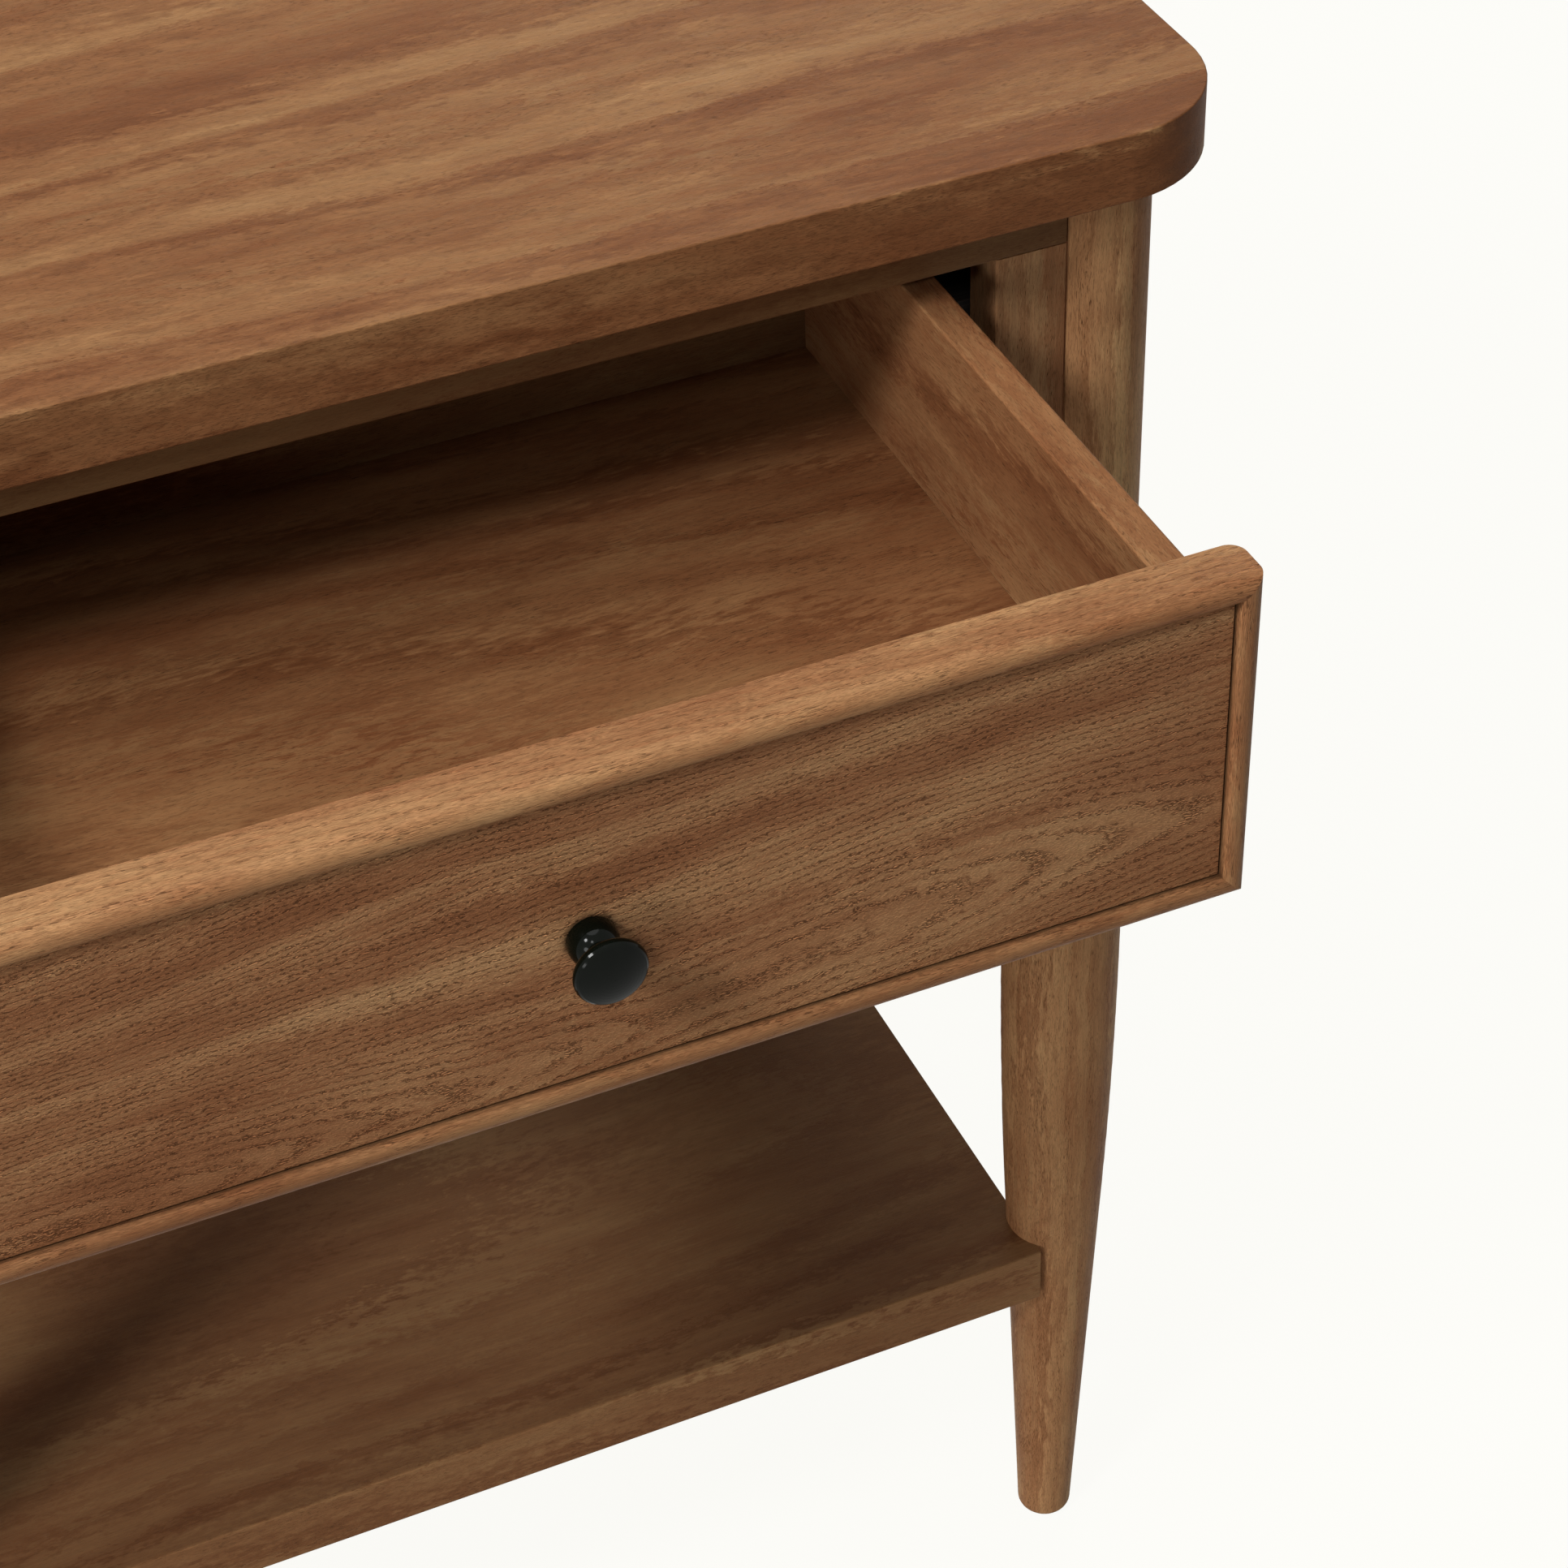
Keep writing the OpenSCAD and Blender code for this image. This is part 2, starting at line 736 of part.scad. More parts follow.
module drawer_side(left) {
    color("sandybrown") opened() difference() {
        handed(left) translate([box_in_x, box_y, side_low]) board_y(side_t, side_len, side_h);
        bottom_slot();
        side_dowel_holes();
        handed(left) drawer_screw_places()
            rotate([0, -90, 0])
                cylinder(d = screw_d + 2 * screw_fit, h = slide_screw_len + end_fit, $fn = 24);
    }
}
module drawer_side_left() drawer_side(true);
module drawer_side_right() drawer_side(false);

module drawer_back() {
    color("sandybrown") opened() difference() {
        translate([-box_in_x, box_end - side_t, side_low]) board_x(2 * box_in_x, side_t, side_h);
        bottom_slot();
        side_dowel_holes();
    }
}

module drawer_bottom() {
    reach = bottom_groove - panel_fit;
    color("chocolate") opened() translate([-box_in_x - reach, box_y - reach, floor_low])
        cube([2 * (box_in_x + reach), side_len - side_t + 2 * reach, bottom_t]);
}

module drawer_dowels() {
    color("wheat") opened()
        for (left = [false, true])
            handed(left) side_dowels(drawer_dowel_d, drawer_dowel_len);
}

module knob() {
    color("black") at_front() translate([0, bead_proud, 0]) rotate([90, 0, 0]) difference() {
        union() {
            difference() {
                translate([0, 0, knob_ball_up]) sphere(d = knob_ball_d, $fn = 64);
                translate([0, 0, -knob_ball_d]) cylinder(d = 2 * knob_ball_d, h = knob_ball_d, $fn = 32);
            }
            rotate_extrude($fn = 64) polygon(knob_profile);
        }
        translate([0, 0, -over])
            cylinder(d = knob_screw_d + 2 * screw_fit, h = over + knob_screw_in + end_fit, $fn = 24);
    }
}

module knob_screw() {
    color("silver") at_front() translate([0, front_t, 0]) rotate([90, 0, 0])
        pan_screw(knob_screw_d, front_t - bead_proud + knob_screw_in);
}

tabletop();
leg_front_left();
leg_front_right();
leg_back_left();
leg_back_right();
foot_glides();
top_rail();
bottom_rail();
stile_left();
stile_right();
side_panel_left();
side_panel_right();
back_panel();
case_bottom();
top_cleat_left();
top_cleat_right();
top_screws();
shelf();
dowels();
runner_board_left();
runner_board_right();
slide_cabinet_left();
slide_cabinet_right();
slide_cabinet_screws();
slide_middle_left();
slide_middle_right();
outer_ball_cage_left();
outer_ball_cage_right();
inner_ball_cage_left();
inner_ball_cage_right();
slide_drawer_left();
slide_drawer_right();
slide_drawer_screws();
drawer_front();
bead_top();
bead_bottom();
bead_left();
bead_right();
drawer_side_left();
drawer_side_right();
drawer_back();
drawer_bottom();
drawer_dowels();
knob();
knob_screw();
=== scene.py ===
# Side table with an open drawer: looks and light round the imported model.
import math

import bpy
from mathutils import Matrix, Vector


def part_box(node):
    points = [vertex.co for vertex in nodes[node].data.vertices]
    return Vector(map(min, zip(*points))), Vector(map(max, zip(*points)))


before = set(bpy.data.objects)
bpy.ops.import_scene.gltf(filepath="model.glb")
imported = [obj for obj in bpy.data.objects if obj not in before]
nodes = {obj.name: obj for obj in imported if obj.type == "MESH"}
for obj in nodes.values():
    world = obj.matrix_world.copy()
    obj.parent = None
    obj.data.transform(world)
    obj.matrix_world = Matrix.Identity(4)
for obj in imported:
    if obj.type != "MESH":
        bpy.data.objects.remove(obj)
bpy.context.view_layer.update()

# Camera, looking down over the front left of the table
view = {
    "place": (-0.22545, -0.93956, 1.17029),  # metres
    "azimuth": 22.47,    # degrees from +Y towards +X
    "elevation": 39.58,  # degrees downwards
    "roll": 1.83,        # degrees
    "lens": 86.1,        # mm
    "sensor": 36,        # mm
    "nearest": 0.01,     # metres
}


def makeCamera(name):
    azimuth, elevation, roll = (math.radians(view[key]) for key in ("azimuth", "elevation", "roll"))
    ahead = Vector((math.sin(azimuth) * math.cos(elevation),
                    math.cos(azimuth) * math.cos(elevation), -math.sin(elevation)))
    level = Vector((math.cos(azimuth), -math.sin(azimuth), 0))
    down = ahead.cross(level)
    right = level * math.cos(roll) + down * math.sin(roll)
    up = level * math.sin(roll) - down * math.cos(roll)
    data = bpy.data.cameras.new(name)
    data.lens = view["lens"]
    data.sensor_width = view["sensor"]
    data.clip_start = view["nearest"]
    camera = bpy.data.objects.new(name, data)
    facing = Matrix((right, up, -ahead)).transposed().to_4x4()
    camera.matrix_world = Matrix.Translation(view["place"]) @ facing
    bpy.context.collection.objects.link(camera)
    bpy.context.scene.camera = camera


makeCamera("camera")
print("camera set")


def addNode(tree, kind, inputs=None, **settings):
    made = tree.nodes.new(kind)
    for key, value in settings.items():
        setattr(made, key, value)
    for key, value in (inputs or {}).items():
        if isinstance(value, bpy.types.NodeSocket):
            tree.links.new(value, made.inputs[key])
        else:
            made.inputs[key].default_value = value
    return made


def newMaterial(name):
    material = bpy.data.materials.new(name)
    material.use_nodes = True
    material.node_tree.nodes.clear()
    return material, material.node_tree


def finishMaterial(tree, shader):
    addNode(tree, "ShaderNodeOutputMaterial", {"Surface": shader.outputs[0]})


def dress(material, *names):
    for name in names:
        nodes[name].data.materials.clear()
        nodes[name].data.materials.append(material)


def maths(tree, operation, first, second=0.0, third=0.0):
    return addNode(tree, "ShaderNodeMath", {0: first, 1: second, 2: third},
                   operation=operation).outputs[0]


def rampOf(tree, factor, low, high):
    # 0 at low, 1 at high, smooth between them
    return addNode(tree, "ShaderNodeMapRange", {"Value": factor, "From Min": low, "From Max": high},
                   interpolation_type="SMOOTHSTEP").outputs[0]


def pulseOf(tree, turn, shape):
    # rises from 0 to the first mark, then falls from the second to the third
    full, fading, gone = shape
    return maths(tree, "MULTIPLY", rampOf(tree, turn, 0.0, full), rampOf(tree, turn, gone, fading))


def centred(tree, noise):
    return maths(tree, "SUBTRACT", noise, 0.5)  # noise about nought


def pointOf(tree, *parts):
    return addNode(tree, "ShaderNodeCombineXYZ", dict(enumerate(parts))).outputs[0]


def mixColour(tree, factor, first, second, blend="MIX"):
    first, second = (value if isinstance(value, bpy.types.NodeSocket) else (*value, 1)
                     for value in (first, second))
    # a mix node's colours are its inputs 6 and 7, and the mixed colour its output 2
    return addNode(tree, "ShaderNodeMix", {0: factor, 6: first, 7: second},
                   data_type="RGBA", blend_type=blend).outputs[2]


def toneRamp(tree, factor, stops):
    made = addNode(tree, "ShaderNodeValToRGB", {0: factor})
    first, last = made.color_ramp.elements
    first.position, last.position = stops[0][0], stops[-1][0]
    first.color, last.color = (*stops[0][1], 1), (*stops[-1][1], 1)
    for position, colour in stops[1:-1]:
        made.color_ramp.elements.new(position).color = (*colour, 1)
    return made.outputs[0]


def noiseAt(tree, spot, rate, detail=2.0, roughness=0.5):
    # rate: how many features to the metre on each axis
    spot = addNode(tree, "ShaderNodeVectorMath", {0: spot, 1: rate}, operation="MULTIPLY")
    return addNode(tree, "ShaderNodeTexNoise",
                   {"Vector": spot.outputs[0], "Scale": 1.0, "Detail": detail,
                    "Roughness": roughness}).outputs[0]


def rateOf(size, cells=1.0):
    # how many to the metre along, across and into the face, for a length and a width
    long, wide = size
    return cells / long, cells / wide, cells / wide


# Walnut. Lengths are metres and rates are to the metre, both along the grain, across the
# piece's main face and into it. Places are from the piece's middle.
walnut = {
    "tones": ((0.00, (0.150, 0.053, 0.020)), (0.30, (0.212, 0.083, 0.033)),  # from dark to pale
              (0.52, (0.272, 0.121, 0.050)), (0.75, (0.342, 0.172, 0.073)),
              (1.00, (0.430, 0.238, 0.106))),
    "middle": 0.55,            # where on those tones the wood lies without any figure
    "tone": 1.0,               # lighter or darker over all
    "tint": (1.0, 1.0, 1.0),   # more or less of red, green and blue
    # the run of the fibres
    "wander": 0.006,           # how far the grain sways from straight
    "swayRate": (3.0, 7.0, 7.0),
    "curl": 0.0007,            # how far the fibres wave
    "curlRate": (24.0, 50.0, 50.0),
    # the rings
    "heart": (0.10, -0.16),    # where the heart of the log lies, across and into the face
    "lean": (0.02, 0.08),      # how fast the heart drifts on the way along
    "arch": (0.0, 0.4, 0.0),   # where the heart dips, from one dip to the next, and how far
    "swellRate": (9.0, 26.0, 26.0),   # where the rings lie wider
    "ring": 0.012,             # from ring to ring
    "ragged": 1.5,             # how far they stray, in rings
    "earlyWood": (0.12, 0.15, 0.65),  # shares of a ring: full from, fades from, gone by
    "ringTone": 0.12,          # how dark the early wood is
    # the colour
    "streak": 1.0,             # long light and dark streaks
    "streakRate": (2.0, 34.0),        # along the grain and from ring to ring
    "feather": 1.6,            # how far small wisps fray their edges
    "band": 0.045,             # from one broad band of colour to the next
    "bandStray": 1.6,          # how far they stray, in bands
    "bandShape": (0.08, 0.3, 1.0),    # shares of a band: full from, fades from, gone by
    "bandTone": 0.15,          # how far they differ
    "cloud": 0.7,              # short clouds across the streaks
    "cloudSize": (0.060, 0.012),      # length and width
    "fleck": 0.35,             # small light and dark wisps
    "fleckSize": (0.008, 0.003),
    "fibre": 0.25,             # the finest threads
    "fibreRate": (40.0, 1800.0, 1800.0),
    # the pores
    "pore": (0.055, 0.023, 0.010),
    "poreTone": 0.45,          # how dark they are
    "poreSize": (0.0030, 0.00024),
    "poreCells": 1.2,          # cells of noise in a pore's length
    "poreShare": 0.56,         # noise level from which a pore starts: higher means fewer
    "poreFade": 0.12,          # how softly it starts
    "poreBand": 0.5,           # share of the pores that gather along the rings
    "poreRow": (0.08, 0.14, 0.40),    # shares of a ring: full from, fades from, gone by
    "rowRate": (15.0, 12.0, 1.0),     # breaks in such a row, to each streak
    "rowBreak": (0.38, 0.6),   # noise levels between which a row comes back
    "poreHighlight": 0.20,             # painted highlight: how light the strip beside a pore is made
    "poreHighlightShift": 0.7,         # how far beside it, in pore widths
    # the finish
    "relief": 0.00008,         # depth of the pores
    "wispRelief": 0.8,         # height of the wisps against that depth
    "roughness": 0.50,
    "spread": 0.16,            # how far the wisps change the roughness
    "poreRough": 0.25,         # how much rougher a pore is
    "gloss": 0.05,             # mirror light, 0.5 for a full varnish
    "paintedShade": 0.0,               # painted shade: how dark the colour is made in corners and creases
    "paintedShadeReach": 0.006,
    "paintedShadeOpen": (0.42, 0.85),  # shares of open air at which it is full and gone
    "edge": 1.0,               # painted light: how much lighter a board's edge is made than its face
    "edgeTurn": (0.3, 0.9),    # how flat it lies: edge up to the first, face from the second
}


def dashesAt(tree, spot, wood):
    rate = rateOf(wood["poreSize"], wood["poreCells"])
    starts = wood["poreShare"]
    return rampOf(tree, noiseAt(tree, spot, rate, detail=1.0), starts, starts + wood["poreFade"])


def walnutFinish(name, axes, origin, changes):
    # axes: the object axes that run along the grain, across the face and into it
    wood = {**walnut, **changes}
    material, tree = newMaterial(name)
    spot = addNode(tree, "ShaderNodeTexCoord").outputs["Object"]
    spot = addNode(tree, "ShaderNodeVectorMath", {0: spot, 1: origin}, operation="SUBTRACT")
    parts = addNode(tree, "ShaderNodeSeparateXYZ", {0: spot.outputs[0]}).outputs
    along, across, depth = (parts[axis] for axis in axes)

    # the fibres sway and curl, and everything else follows them
    straight = pointOf(tree, along, across, depth)
    sway = centred(tree, noiseAt(tree, straight, wood["swayRate"], detail=1.0))
    curl = centred(tree, noiseAt(tree, straight, wood["curlRate"], roughness=0.6))
    swing = 4.0  # noise keeps to about a quarter either side of its middle
    shift = maths(tree, "MULTIPLY", sway, swing * wood["wander"])
    shift = maths(tree, "MULTIPLY_ADD", curl, swing * wood["curl"], shift)
    across = maths(tree, "ADD", across, shift)
    grain = pointOf(tree, along, across, depth)

    # rings round a heart that leans and dips, so that they open into arches
    where, apart, far = wood["arch"]
    (heartAcross, heartIn), (leanAcross, leanIn) = wood["heart"], wood["lean"]
    turn = math.tau / apart
    dip = maths(tree, "COSINE", maths(tree, "MULTIPLY_ADD", along, turn, -turn * where))
    sideways = maths(tree, "MULTIPLY_ADD", along, leanAcross, -heartAcross)
    sideways = maths(tree, "ADD", sideways, across)
    inward = maths(tree, "MULTIPLY_ADD", along, leanIn, -heartIn)
    inward = maths(tree, "ADD", inward, depth)
    inward = maths(tree, "MULTIPLY_ADD", dip, far, inward)
    radius = maths(tree, "SQRT", maths(tree, "ADD", maths(tree, "MULTIPLY", sideways, sideways),
                                       maths(tree, "MULTIPLY", inward, inward)))
    swell = centred(tree, noiseAt(tree, grain, wood["swellRate"]))
    radius = maths(tree, "MULTIPLY_ADD", swell, wood["wander"], radius)

    # streaks follow the rings, and wisps fray them
    fleck = noiseAt(tree, grain, rateOf(wood["fleckSize"]), detail=5.0, roughness=0.7)
    fibre = noiseAt(tree, grain, wood["fibreRate"], roughness=0.6)
    alongRate, ringRate = wood["streakRate"]
    frayed = maths(tree, "MULTIPLY", radius, ringRate)
    frayed = maths(tree, "MULTIPLY_ADD", fleck, wood["feather"], frayed)
    streakSpot = pointOf(tree, maths(tree, "MULTIPLY", along, alongRate), frayed)
    streak = noiseAt(tree, streakSpot, (1.0, 1.0, 1.0), detail=5.0, roughness=0.6)
    stray = maths(tree, "ADD", streak, fleck)
    rings = maths(tree, "MULTIPLY", radius, 1 / wood["ring"])
    rings = maths(tree, "FRACT", maths(tree, "MULTIPLY_ADD", stray, wood["ragged"], rings))
    early = pulseOf(tree, rings, wood["earlyWood"])
    bands = maths(tree, "MULTIPLY", radius, 1 / wood["band"])
    bands = maths(tree, "FRACT", maths(tree, "MULTIPLY_ADD", streak, wood["bandStray"], bands))
    band = pulseOf(tree, bands, wood["bandShape"])
    cloud = noiseAt(tree, grain, rateOf(wood["cloudSize"]), detail=5.0, roughness=0.62)
    tone = maths(tree, "MULTIPLY_ADD", streak, wood["streak"], wood["middle"] - wood["streak"] / 2)
    tone = maths(tree, "MULTIPLY_ADD", maths(tree, "SUBTRACT", 0.5, band), wood["bandTone"], tone)
    tone = maths(tree, "MULTIPLY_ADD", centred(tree, cloud), wood["cloud"], tone)
    tone = maths(tree, "MULTIPLY_ADD", early, -wood["ringTone"], tone)

    # pores: short dashes, thicker along the early part of each ring, each with a painted highlight
    # along its edge
    aside = (0, wood["poreSize"][1] * wood["poreHighlightShift"], 0)
    beside = addNode(tree, "ShaderNodeVectorMath", {0: grain, 1: aside}, operation="ADD").outputs[0]
    row = pulseOf(tree, rings, wood["poreRow"])
    broken = rampOf(tree, noiseAt(tree, streakSpot, wood["rowRate"]), *wood["rowBreak"])
    row = maths(tree, "MULTIPLY", row, broken)
    row = maths(tree, "MULTIPLY_ADD", row, wood["poreBand"], 1 - wood["poreBand"])
    pores = maths(tree, "MULTIPLY", dashesAt(tree, grain, wood), row)
    # painted highlight: a light strip just beside each pore, where its lip would catch the light
    poreHighlights = maths(tree, "MULTIPLY", dashesAt(tree, beside, wood), row)
    poreHighlights = maths(tree, "MAXIMUM", maths(tree, "SUBTRACT", poreHighlights, pores))

    # lift: how light each spot is against the tone, with painted highlights, painted edge light and
    # painted shade in it
    lift = maths(tree, "MULTIPLY_ADD", centred(tree, fleck), wood["fleck"], 1.0)
    lift = maths(tree, "MULTIPLY_ADD", centred(tree, fibre), wood["fibre"], lift)
    lift = maths(tree, "MULTIPLY_ADD", poreHighlights, wood["poreHighlight"], lift)
    lift = maths(tree, "MULTIPLY", lift, wood["tone"])
    # painted light: the edges of a board are made lighter than its face
    if wood["edge"] != 1.0:
        normal = addNode(tree, "ShaderNodeTexCoord").outputs["Normal"]
        normal = addNode(tree, "ShaderNodeSeparateXYZ", {0: normal}).outputs[axes[2]]
        facing = rampOf(tree, maths(tree, "ABSOLUTE", normal), *wood["edgeTurn"])
        edge = maths(tree, "MULTIPLY_ADD", facing, 1 - wood["edge"], wood["edge"])
        lift = maths(tree, "MULTIPLY", lift, edge)
    # painted shade: ambient occlusion darkens the colour in corners and creases, as under a bead's
    # lip
    if wood["paintedShade"] > 0:
        corner = addNode(tree, "ShaderNodeAmbientOcclusion", {"Distance": wood["paintedShadeReach"]})
        clear = rampOf(tree, corner.outputs["AO"], *wood["paintedShadeOpen"])
        clear = maths(tree, "MULTIPLY_ADD", clear, wood["paintedShade"], 1 - wood["paintedShade"])
        lift = maths(tree, "MULTIPLY", lift, clear)
    tinted = [maths(tree, "MULTIPLY", lift, part) for part in wood["tint"]]
    tinted = addNode(tree, "ShaderNodeCombineColor", dict(enumerate(tinted))).outputs[0]
    colour = mixColour(tree, 1.0, toneRamp(tree, tone, wood["tones"]), tinted, "MULTIPLY")
    dark = maths(tree, "MULTIPLY", pores, wood["poreTone"])
    colour = mixColour(tree, dark, colour, wood["pore"])

    height = maths(tree, "MULTIPLY", pores, -1.0)
    height = maths(tree, "MULTIPLY_ADD", fleck, wood["wispRelief"], height)
    bump = addNode(tree, "ShaderNodeBump",
                   {"Height": height, "Strength": 1.0, "Distance": wood["relief"]})
    smoothest = wood["roughness"] - wood["spread"] / 2
    rough = maths(tree, "MULTIPLY_ADD", fleck, wood["spread"], smoothest)
    rough = maths(tree, "MULTIPLY_ADD", pores, wood["poreRough"], rough)
    finishMaterial(tree, addNode(tree, "ShaderNodeBsdfPrincipled",
                                 {"Base Color": colour, "Roughness": rough,
                                  "Normal": bump.outputs[0], "Specular IOR Level": wood["gloss"]}))
    return material


def middleOf(name):
    low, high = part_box(name)
    return [(a + b) / 2 for a, b in zip(low, high)]


# What each wooden piece changes: its grain axes, then its own figure
leg = {"tone": 2.08, "tint": (0.97, 1.13, 1.22), "lean": (0.01, 0.02), "ring": 0.007,
       "streak": 2.2, "feather": 0.8, "bandTone": 0.08, "cloud": 0.6, "fleck": 0.5,
       "fleckSize": (0.012, 0.002), "fibre": 0.5, "poreTone": 0.7}
stile = {"tone": 1.50, "tint": (0.97, 1.08, 1.18), "ring": 0.006, "streak": 1.8, "feather": 0.8,
         "fleck": 0.6, "fleckSize": (0.010, 0.0018), "fibre": 0.6, "poreTone": 0.8}
outerPanel = {"streak": 1.4, "bandTone": 0.04, "cloud": 0.4}
# beads: painted shade where they meet the panel, and painted highlights beside their pores
bead = {"tone": 1.28, "tint": (1.0, 1.04, 1.08), "ring": 0.003, "ringTone": 0.10,
        "bandTone": 0.2, "cloud": 0.9, "fleckSize": (0.009, 0.0020), "poreTone": 0.6,
        "poreSize": (0.0034, 0.00024), "poreShare": 0.535, "poreBand": 0.6, "poreHighlight": 0.6,
        "relief": 0.00016, "roughness": 0.46, "gloss": 0.07, "paintedShade": 0.65}
box = {"tone": 1.12, "tint": (0.98, 1.0, 1.02), "streak": 1.5, "cloud": 0.9, "fleck": 0.5,
       "fleckSize": (0.010, 0.0022), "fibre": 0.4, "poreTone": 0.75}
woodPieces = {
    "tabletop": ("XYZ", {"tone": 0.99, "ring": 0.020, "ringTone": 0.04, "streak": 1.2,
                         "feather": 1.0, "band": 0.040, "bandTone": 0.30, "cloud": 0.8,
                         "fleck": 0.8, "fleckSize": (0.012, 0.0035), "fibre": 0.4,
                         "poreTone": 0.65, "relief": 0.00014, "gloss": 0.04}),
    # shelf: its front edge painted lighter than its faces
    "shelf": ("XYZ", {"tone": 0.80, "tint": (0.95, 1.02, 1.05), "heart": (-0.06, -0.10),
                      "streak": 1.1, "feather": 1.2, "fibre": 0.4, "edge": 1.50}),
    "leg_front_left": ("ZXY", {**leg, "heart": (0.05, 0.03)}),
    "leg_front_right": ("ZXY", {**leg, "heart": (-0.06, -0.04)}),
    "leg_back_left": ("ZXY", {**leg, "heart": (0.04, -0.05)}),
    "leg_back_right": ("ZXY", {**leg, "heart": (-0.04, 0.06)}),
    "top_rail": ("XZY", {"tone": 0.75, "tint": (0.93, 1.05, 1.08)}),
    "bottom_rail": ("XZY", {"tone": 0.80, "heart": (0.06, -0.12)}),
    "stile_left": ("ZXY", stile),
    "stile_right": ("ZXY", {**stile, "heart": (-0.09, -0.05)}),
    "side_panel_left": ("YZX", {**outerPanel, "heart": (0.0, 0.07), "lean": (0.03, 0.12)}),
    "side_panel_right": ("YZX", {**outerPanel, "heart": (0.02, -0.07), "lean": (0.02, 0.14)}),
    "back_panel": ("XZY", {**outerPanel, "heart": (-0.01, 0.08), "lean": (0.03, 0.13)}),
    "case_bottom": ("XYZ", {"tone": 0.9, "heart": (0.03, 0.09), "lean": (0.03, 0.10)}),
    # drawer front: painted shade in its corners, and strong painted highlights beside its pores
    "drawer_front": ("XZY", {"tone": 1.32, "tint": (1.0, 1.06, 1.14), "heart": (-0.031, -0.022),
                             "lean": (-0.076, 0.05), "arch": (0.0, 0.22, 0.0014),
                             "ring": 0.0017, "ragged": 1.95, "ringTone": 0.16, "streak": 1.5,
                             "feather": 0.8, "band": 0.02, "bandTone": 0.20, "cloud": 0.9,
                             "fleck": 0.6, "fleckSize": (0.0040, 0.0018), "poreTone": 0.50,
                             "poreSize": (0.0016, 0.00042), "poreShare": 0.42, "poreBand": 0.80,
                             "poreHighlight": 1.5, "relief": 0.0004, "paintedShade": 0.8}),
    "bead_top": ("XZY", bead),
    "bead_bottom": ("XZY", {**bead, "tone": 1.16, "heart": (0.07, -0.12)}),
    "bead_left": ("ZXY", {**bead, "heart": (0.06, -0.12)}),
    "bead_right": ("ZXY", {**bead, "heart": (-0.08, -0.12)}),
    "drawer_side_left": ("YZX", {**box, "heart": (0.05, 0.09)}),
    "drawer_side_right": ("YZX", {**box, "heart": (-0.05, -0.09)}),
    "drawer_back": ("XZY", {**box, "tone": 0.75, "tint": (0.90, 1.08, 1.15),
                            "heart": (0.05, -0.1)}),
    "drawer_bottom": ("XYZ", {**box, "tone": 0.78, "tint": (1.02, 0.97, 0.94), "curl": 0.0014,
                              "heart": (-0.04, -0.09), "lean": (0.05, 0.10)}),
}
for name, (axes, changes) in woodPieces.items():
    dress(walnutFinish(name + "Walnut", axes, middleOf(name), changes), name)
print("walnut set")

# Dowels of pale beech, and inner boards coloured almost black as painted shade inside the case
plainBoard = {
    "fibreRate": (30.0, 700.0, 700.0),  # to the metre
    "patchRate": (14.0, 14.0, 14.0),
    "patchShare": 0.3,        # patches against fibres
    "darken": (0.38, 0.62),   # noise levels from pale to dark
    "relief": 0.00004,        # metres
    "spread": 0.2,            # how far the fibres change the roughness
    "gloss": 0.25,
}
beech = {**plainBoard, "pale": (0.50, 0.34, 0.19), "dark": (0.38, 0.23, 0.115), "roughness": 0.6}
# painted shade: the inner boards are coloured almost black for the shade inside the case
shadeBlack = {**plainBoard, "pale": (0.020, 0.015, 0.011), "dark": (0.009, 0.007, 0.006),
           "roughness": 0.7}


def boardFinish(name, board):
    material, tree = newMaterial(name)
    spot = addNode(tree, "ShaderNodeTexCoord").outputs["Object"]
    fibre = noiseAt(tree, spot, board["fibreRate"], detail=3.0, roughness=0.6)
    patch = noiseAt(tree, spot, board["patchRate"])
    figure = maths(tree, "MULTIPLY", patch, board["patchShare"])
    figure = maths(tree, "MULTIPLY_ADD", fibre, 1 - board["patchShare"], figure)
    figure = rampOf(tree, figure, *board["darken"])
    bump = addNode(tree, "ShaderNodeBump",
                   {"Height": fibre, "Strength": 1.0, "Distance": board["relief"]})
    colour = mixColour(tree, figure, board["pale"], board["dark"])
    smoothest = board["roughness"] - board["spread"] / 2
    rough = maths(tree, "MULTIPLY_ADD", fibre, board["spread"], smoothest)
    finishMaterial(tree, addNode(tree, "ShaderNodeBsdfPrincipled",
                                 {"Base Color": colour, "Roughness": rough,
                                  "Normal": bump.outputs[0], "Specular IOR Level": board["gloss"]}))
    return material


dress(boardFinish("beechDowel", beech), "dowels", "drawer_dowels")
dress(boardFinish("shadeBlackBoard", shadeBlack),
      "top_cleat_left", "top_cleat_right", "runner_board_left", "runner_board_right")
print("beech and stained boards set")

# Pressed and coated metal, nylon and enamel: a colour, its wear and its fine surface
plainCoat = {
    "metallic": 0.0,
    "gloss": 0.4,
    "wear": (0.45, 0.7),  # noise levels from new to worn
}
coats = {
    "coatedSteel": {"colour": (0.014, 0.014, 0.013), "worn": (0.030, 0.030, 0.028),
                    "roughness": 0.38, "spread": 0.20, "grain": (60.0, 9.0, 60.0),
                    "relief": 0.00001},
    "zincSteel": {"colour": (0.50, 0.51, 0.52), "worn": (0.38, 0.39, 0.41), "metallic": 1.0,
                  "roughness": 0.30, "spread": 0.25, "grain": (300.0, 300.0, 300.0),
                  "relief": 0.00002},
    "blackNylon": {"colour": (0.022, 0.021, 0.020), "worn": (0.045, 0.043, 0.040),
                   "roughness": 0.55, "spread": 0.20, "grain": (500.0, 500.0, 500.0),
                   "relief": 0.00002},
    "blackEnamel": {"colour": (0.0022, 0.0034, 0.0020), "worn": (0.0030, 0.0044, 0.0028),
                    "roughness": 0.10, "spread": 0.08, "grain": (180.0, 180.0, 180.0),
                    "relief": 0.000004, "gloss": 0.10},
}


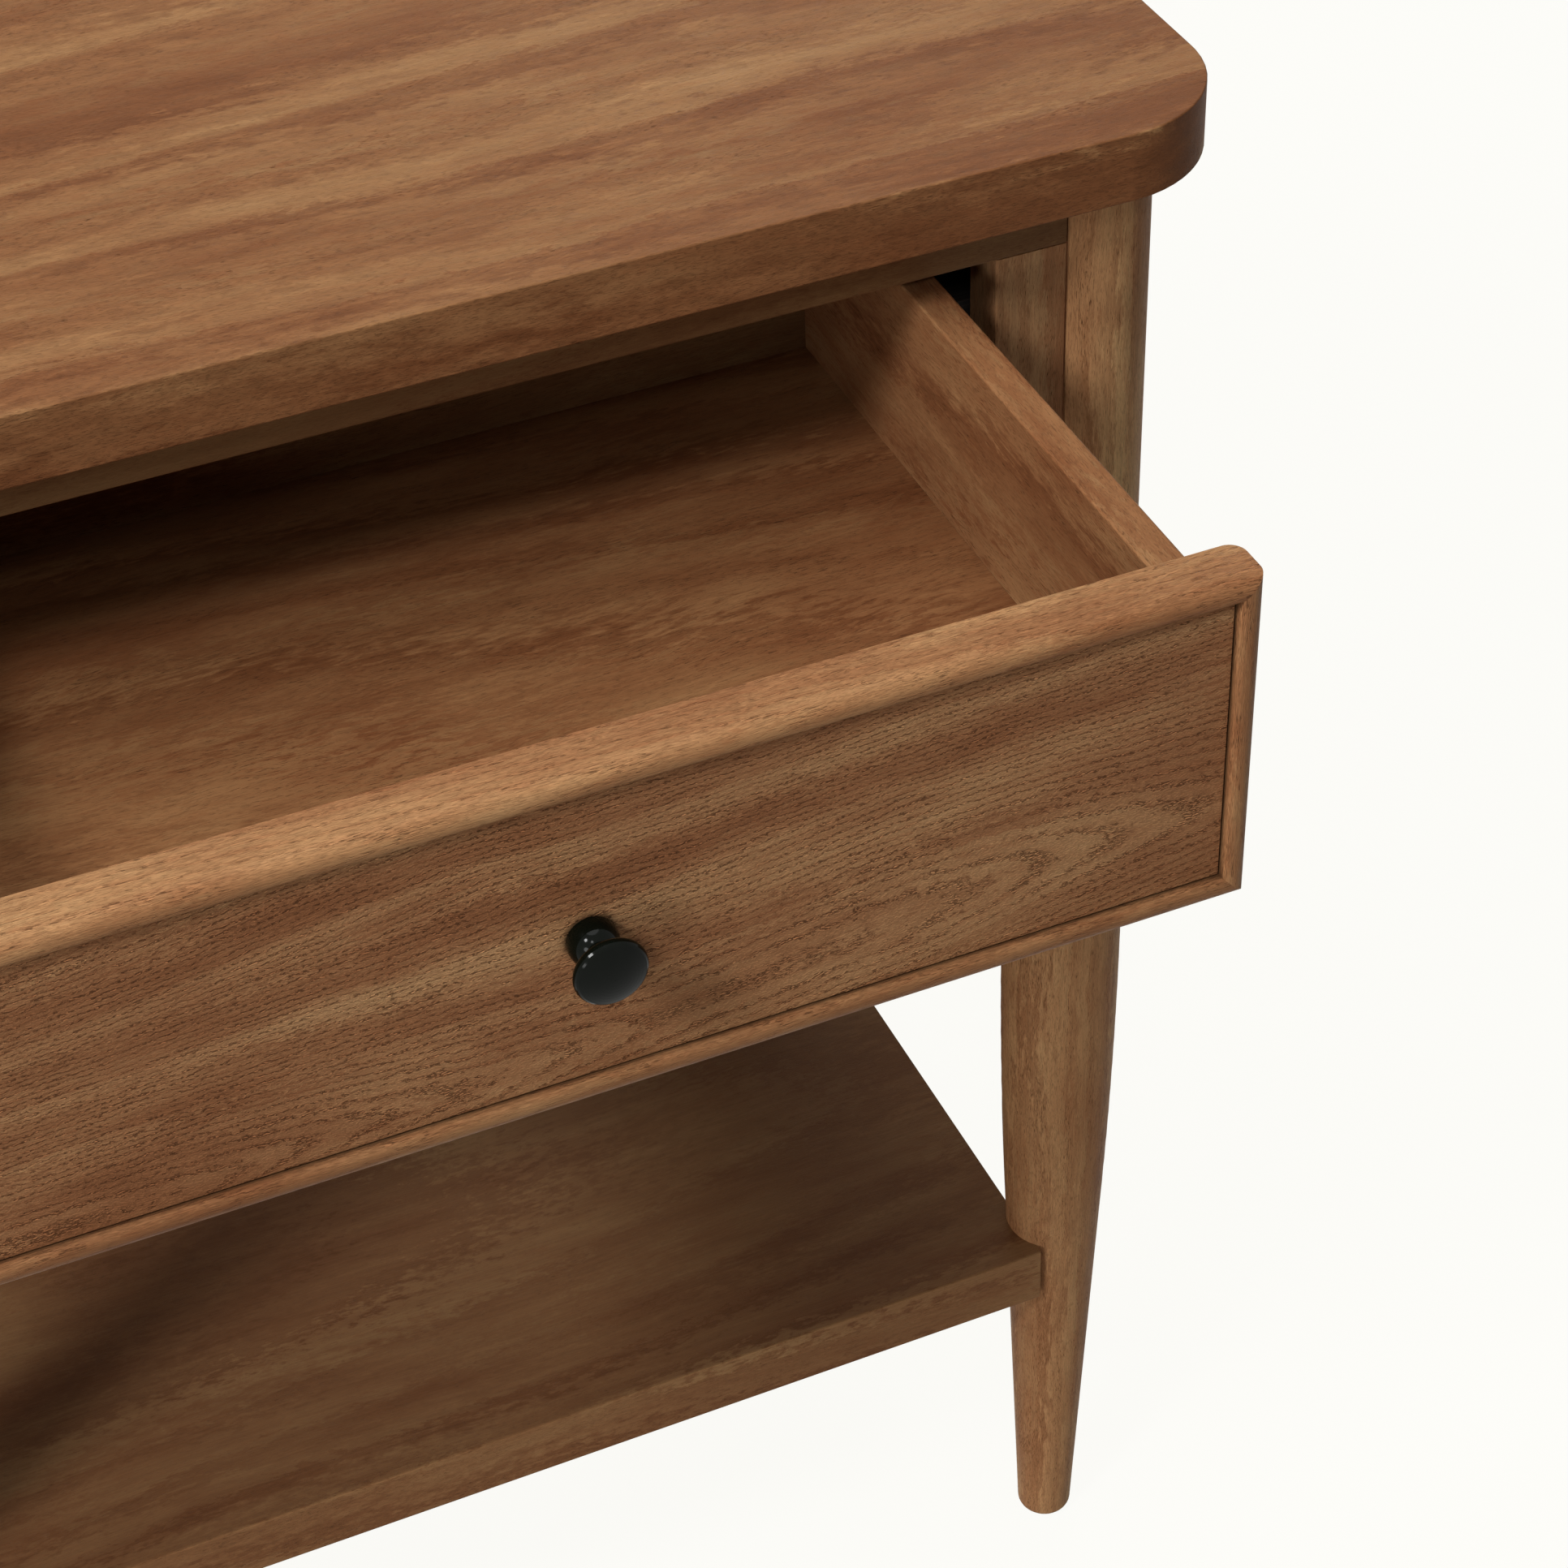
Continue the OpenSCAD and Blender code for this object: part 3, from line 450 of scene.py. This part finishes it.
def coatFinish(name):
    coat = {**plainCoat, **coats[name]}
    material, tree = newMaterial(name)
    spot = addNode(tree, "ShaderNodeTexCoord").outputs["Object"]
    wear = noiseAt(tree, spot, coat["grain"], detail=3.0, roughness=0.6)
    bump = addNode(tree, "ShaderNodeBump",
                   {"Height": wear, "Strength": 1.0, "Distance": coat["relief"]})
    smoothest = coat["roughness"] - coat["spread"] / 2
    rough = maths(tree, "MULTIPLY_ADD", wear, coat["spread"], smoothest)
    colour = mixColour(tree, rampOf(tree, wear, *coat["wear"]), coat["colour"], coat["worn"])
    finishMaterial(tree, addNode(tree, "ShaderNodeBsdfPrincipled",
                                 {"Base Color": colour, "Metallic": coat["metallic"],
                                  "Roughness": rough, "Normal": bump.outputs[0],
                                  "Specular IOR Level": coat["gloss"]}))
    return material


dress(coatFinish("coatedSteel"),
      *[name for name in nodes if "slide_" in name and "screw" not in name])
dress(coatFinish("zincSteel"), *[name for name in nodes if "cage" in name or "screw" in name])
dress(coatFinish("blackNylon"), "foot_glides")
dress(coatFinish("blackEnamel"), "knob")
print("metal, nylon and enamel set")

# Floor and world
surround = {
    "colour": (1.0, 0.994, 0.957),
    "floorHalf": 30,      # metres from the middle of the floor to its edge
    "floorGlow": 0.95,    # share of the floor's own white where it is seen
    "floorBounce": 0.35,  # how much of the light it throws back at the table
    "worldFill": 0.01,    # the light that comes from all around
}


def seenDirectly(tree):
    # 1 for what the camera, a mirror or a clear body shows, 0 for scattered light
    path = addNode(tree, "ShaderNodeLightPath").outputs
    seen = maths(tree, "MAXIMUM", path["Is Camera Ray"], path["Is Glossy Ray"])
    return maths(tree, "MAXIMUM", seen, path["Is Transmission Ray"])


def makeFloor(name):
    material, tree = newMaterial("paleFloor")
    seen = seenDirectly(tree)
    share = maths(tree, "MULTIPLY", seen, surround["floorGlow"])
    bounce = [part * surround["floorBounce"] for part in surround["colour"]]
    diffuse = addNode(tree, "ShaderNodeBsdfDiffuse",
                      {"Color": mixColour(tree, seen, bounce, surround["colour"])})
    glow = addNode(tree, "ShaderNodeEmission", {"Color": (*surround["colour"], 1), "Strength": 1.0})
    finishMaterial(tree, addNode(tree, "ShaderNodeMixShader",
                                 {0: share, 1: diffuse.outputs[0], 2: glow.outputs[0]}))
    mesh = bpy.data.meshes.new(name)
    half = surround["floorHalf"]
    corners = [(-half, -half, 0), (half, -half, 0), (half, half, 0), (-half, half, 0)]
    mesh.from_pydata(corners, [], [(0, 1, 2, 3)])
    mesh.materials.append(material)
    floor = bpy.data.objects.new(name, mesh)
    bpy.context.collection.objects.link(floor)


def makeWorld(name):
    # white where it is seen, but only a little light on the table
    world = bpy.data.worlds.new(name)
    bpy.context.scene.world = world
    world.use_nodes = True
    tree = world.node_tree
    fill = surround["worldFill"]
    strength = maths(tree, "MULTIPLY_ADD", seenDirectly(tree), 1 - fill, fill)
    backdrop = tree.nodes["Background"]
    backdrop.inputs["Color"].default_value = (*surround["colour"], 1)
    tree.links.new(strength, backdrop.inputs["Strength"])


makeFloor("floor")
makeWorld("studio")
print("floor and world set")

# Round lamps, all aimed at the table: place and width in metres, power in watts
lampAim = Vector((0, 0, 0.5))
lamps = {
    "key": {"place": (-1.98, -1.24, 2.70), "width": 0.65, "power": 57},
    "overhead": {"place": (0, 0.2, 3.0), "width": 2.5, "power": 40},
    "frontSmall": {"place": (-0.9, -2.2, 2.6), "width": 0.5, "power": 9},
    "leftLow": {"place": (-2.4, -2.3, 1.0), "width": 1.0, "power": 24},
    "back": {"place": (1.6, 3.2, 0.9), "width": 1.2, "power": 18},
}


def makeLamp(name, place, width, power):
    data = bpy.data.lights.new(name, "AREA")
    data.shape = "ELLIPSE"
    data.size = data.size_y = width
    data.energy = power
    lamp = bpy.data.objects.new(name, data)
    lamp.location = place
    lamp.rotation_euler = (lampAim - Vector(place)).to_track_quat("-Z", "Y").to_euler()
    bpy.context.collection.objects.link(lamp)


for name, lamp in lamps.items():
    makeLamp(name, **lamp)
print("lamps set")

bpy.context.scene.view_settings.view_transform = "Standard"
